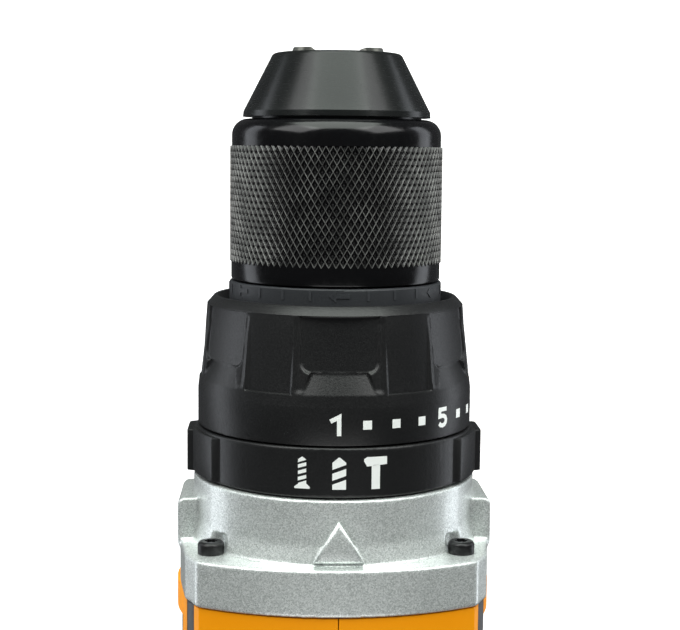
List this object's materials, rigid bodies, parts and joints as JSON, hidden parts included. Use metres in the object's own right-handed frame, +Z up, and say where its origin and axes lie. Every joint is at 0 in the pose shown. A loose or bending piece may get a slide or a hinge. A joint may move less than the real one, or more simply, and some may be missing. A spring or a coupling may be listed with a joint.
{
  "type": "cordless hammer drill",
  "caption": "Cordless hammer drill on its battery pack: keyless chuck, torque collar, mode ring, cast gearbox, two-shell body with rubber grips, trigger and belt clip.",
  "frame": {"origin": "centre of the battery pack's flat underside", "axes": "+Y along the drill axis towards the chuck, +Z up, +X to the user's right"},
  "size_m": [0.0778, 0.1998, 0.2067],
  "materials": {
    "black_oxide": "glossy black oxide",
    "ring_plastic": "satin",
    "jaw_steel": "blackened",
    "steel": "ground",
    "gear_steel": "sintered",
    "silver_casting": "silver painted die casting",
    "black_screws": "black oxide",
    "inner_plastic": "matte",
    "collar_plastic": "textured",
    "lamination": "laminated",
    "copper": "enamelled wire",
    "body_plastic": "satin moulded",
    "grip_rubber": "matte",
    "control_plastic": "satin",
    "lens": "clear",
    "clip_steel": "blackened spring steel",
    "pack_plastic": "textured",
    "pack_accent": "satin",
    "cell_wrap": "shrink wrap",
    "contact_brass": "bright"
  },
  "bodies": {
    "body": {"gearbox_housing": "silver_casting", "gearbox_screws": "black_screws", "gear_case": "inner_plastic", "ring_gear_1": "gear_steel", "clutch_ring_gear": "gear_steel", "clutch_pins": "steel", "clutch_spring": "steel", "hammer_cam_fixed": "steel", "spindle_bearing": "steel", "motor_stator": "lamination", "motor_coils": "copper", "motor_bearings": "steel", "housing_left": "body_plastic", "housing_right": "body_plastic", "grip_left": "grip_rubber", "grip_right": "grip_rubber", "housing_screws": "black_screws", "trigger_switch": "inner_plastic", "trigger_spring": "steel", "work_light": "lens", "terminal_block": "inner_plastic", "belt_clip": "clip_steel", "belt_clip_screw": "black_screws"},
    "spindle": {"spindle": "steel", "output_carrier": "steel", "hammer_cam_rotating": "steel", "chuck_body": "black_oxide", "chuck_rear_ring": "ring_plastic", "chuck_screw": "steel"},
    "chuck_sleeve": {"chuck_sleeve": "black_oxide", "jaw_nut": "jaw_steel"},
    "jaw_1": {"jaw_1": "jaw_steel"},
    "jaw_2": {"jaw_2": "jaw_steel"},
    "jaw_3": {"jaw_3": "jaw_steel"},
    "carriers": {"carrier_1": "gear_steel", "carrier_2": "gear_steel", "planets_2": "gear_steel"},
    "shift_ring": {"shift_ring": "gear_steel"},
    "rotor": {"rotor": "lamination", "motor_shaft": "steel", "motor_fan": "inner_plastic"},
    "torque_collar": {"torque_collar": "collar_plastic"},
    "clutch_nut": {"clutch_nut": "steel"},
    "mode_ring": {"mode_ring": "collar_plastic"},
    "speed_selector": {"speed_selector": "control_plastic"},
    "trigger": {"trigger": "control_plastic"},
    "direction_lever": {"direction_lever": "control_plastic"},
    "battery": {"battery_case_upper": "pack_plastic", "battery_case_lower": "pack_plastic", "battery_cells": "cell_wrap", "battery_contacts": "contact_brass", "battery_screws": "black_screws"},
    "battery_latch": {"battery_latch": "pack_accent"},
    "gauge_button": {"gauge_button": "pack_accent"},
    "planet_1a": {"planet_1a": "gear_steel"},
    "planet_1b": {"planet_1b": "gear_steel"},
    "planet_1c": {"planet_1c": "gear_steel"},
    "planet_3a": {"planet_3a": "gear_steel"},
    "planet_3b": {"planet_3b": "gear_steel"},
    "planet_3c": {"planet_3c": "gear_steel"}
  },
  "joints": [
    {"name": "spindle_spin", "type": "hinge", "parent": "body", "child": "spindle", "pos_m": [0, 0.07, 0.172], "axis": [0, 1, 0], "continuous": true},
    {"name": "carrier_spin", "type": "hinge", "parent": "body", "child": "carriers", "pos_m": [0, 0.01, 0.172], "axis": [0, 1, 0], "continuous": true},
    {"name": "rotor_spin", "type": "hinge", "parent": "body", "child": "rotor", "pos_m": [0, -0.03, 0.172], "axis": [0, 1, 0], "continuous": true},
    {"name": "planet_1a_spin", "type": "hinge", "parent": "carriers", "child": "planet_1a", "pos_m": [0.0132, 0, 0.172], "axis": [0, 1, 0], "continuous": true},
    {"name": "planet_3a_spin", "type": "hinge", "parent": "spindle", "child": "planet_3a", "pos_m": [0.0132, 0.0247, 0.172], "axis": [0, 1, 0], "continuous": true},
    {"name": "planet_1b_spin", "type": "hinge", "parent": "carriers", "child": "planet_1b", "pos_m": [-0.0066, 0, 0.16057], "axis": [0, 1, 0], "continuous": true},
    {"name": "planet_3b_spin", "type": "hinge", "parent": "spindle", "child": "planet_3b", "pos_m": [-0.0066, 0.0247, 0.16057], "axis": [0, 1, 0], "continuous": true},
    {"name": "planet_1c_spin", "type": "hinge", "parent": "carriers", "child": "planet_1c", "pos_m": [-0.0066, 0, 0.18343], "axis": [0, 1, 0], "continuous": true},
    {"name": "planet_3c_spin", "type": "hinge", "parent": "spindle", "child": "planet_3c", "pos_m": [-0.0066, 0.0247, 0.18343], "axis": [0, 1, 0], "continuous": true},
    {"name": "speed_select", "type": "slide", "parent": "body", "child": "speed_selector", "axis": [0, 1, 0], "range_m": [0, 0.0045]},
    {"name": "shift_ring_slide", "type": "slide", "parent": "carriers", "child": "shift_ring", "axis": [0, 1, 0], "range_m": [0, 0.0045]},
    {"name": "sleeve_turn", "type": "hinge", "parent": "spindle", "child": "chuck_sleeve", "pos_m": [0, 0.1, 0.172], "axis": [0, -1, 0], "range_deg": [0, 3240]},
    {"name": "jaw_1_slide", "type": "slide", "parent": "spindle", "child": "jaw_1", "axis": [-0.2241, 0.9659, -0.1294], "range_m": [0, 0.01801]},
    {"name": "jaw_2_slide", "type": "slide", "parent": "spindle", "child": "jaw_2", "axis": [0.2241, 0.9659, -0.1294], "range_m": [0, 0.01801]},
    {"name": "jaw_3_slide", "type": "slide", "parent": "spindle", "child": "jaw_3", "axis": [0, 0.9659, 0.2588], "range_m": [0, 0.01801]},
    {"name": "torque_select", "type": "hinge", "parent": "body", "child": "torque_collar", "pos_m": [0, 0.067, 0.172], "axis": [0, -1, 0], "range_deg": [0, 228]},
    {"name": "clutch_nut_slide", "type": "slide", "parent": "torque_collar", "child": "clutch_nut", "axis": [0, -1, 0], "range_m": [0, 0.00701], "deforming": ["clutch_spring"]},
    {"name": "mode_select", "type": "hinge", "parent": "body", "child": "mode_ring", "pos_m": [0, 0.0487, 0.172], "axis": [0, 1, 0], "range_deg": [-14.3, 14.3]},
    {"name": "trigger_pull", "type": "slide", "parent": "body", "child": "trigger", "axis": [0, -1, 0], "range_m": [0, 0.007], "stiffness_N_per_m": 1200, "springref_m": -0.004, "deforming": ["trigger_spring"]},
    {"name": "direction_select", "type": "slide", "parent": "body", "child": "direction_lever", "axis": [1, 0, 0], "range_m": [-0.003, 0.003]},
    {"name": "battery_slide", "type": "slide", "parent": "body", "child": "battery", "axis": [0, 1, 0], "range_m": [0, 0.085]},
    {"name": "latch_press", "type": "slide", "parent": "battery", "child": "battery_latch", "axis": [0, 0, -1], "range_m": [0, 0.004], "stiffness_N_per_m": 800, "springref_m": -0.003},
    {"name": "gauge_press", "type": "slide", "parent": "battery", "child": "gauge_button", "axis": [-1, 0, 0], "range_m": [0, 0.0012], "stiffness_N_per_m": 1500, "springref_m": -0.001}
  ],
  "couplings": [
    {"joint": "carrier_spin", "follows": "spindle_spin", "ratio": 3.6667},
    {"joint": "rotor_spin", "follows": "spindle_spin", "ratio": 16.133},
    {"joint": "planet_1a_spin", "follows": "spindle_spin", "ratio": -10.389},
    {"joint": "planet_3a_spin", "follows": "spindle_spin", "ratio": -3.2},
    {"joint": "planet_1b_spin", "follows": "spindle_spin", "ratio": -10.389},
    {"joint": "planet_3b_spin", "follows": "spindle_spin", "ratio": -3.2},
    {"joint": "planet_1c_spin", "follows": "spindle_spin", "ratio": -10.389},
    {"joint": "planet_3c_spin", "follows": "spindle_spin", "ratio": -3.2},
    {"joint": "shift_ring_slide", "follows": "speed_select", "ratio": 1},
    {"joint": "jaw_1_slide", "follows": "sleeve_turn", "m_per_rad": 0.00031831},
    {"joint": "jaw_2_slide", "follows": "sleeve_turn", "m_per_rad": 0.00031831},
    {"joint": "jaw_3_slide", "follows": "sleeve_turn", "m_per_rad": 0.00031831},
    {"joint": "clutch_nut_slide", "follows": "torque_select", "m_per_rad": 0.0017591}
  ]
}
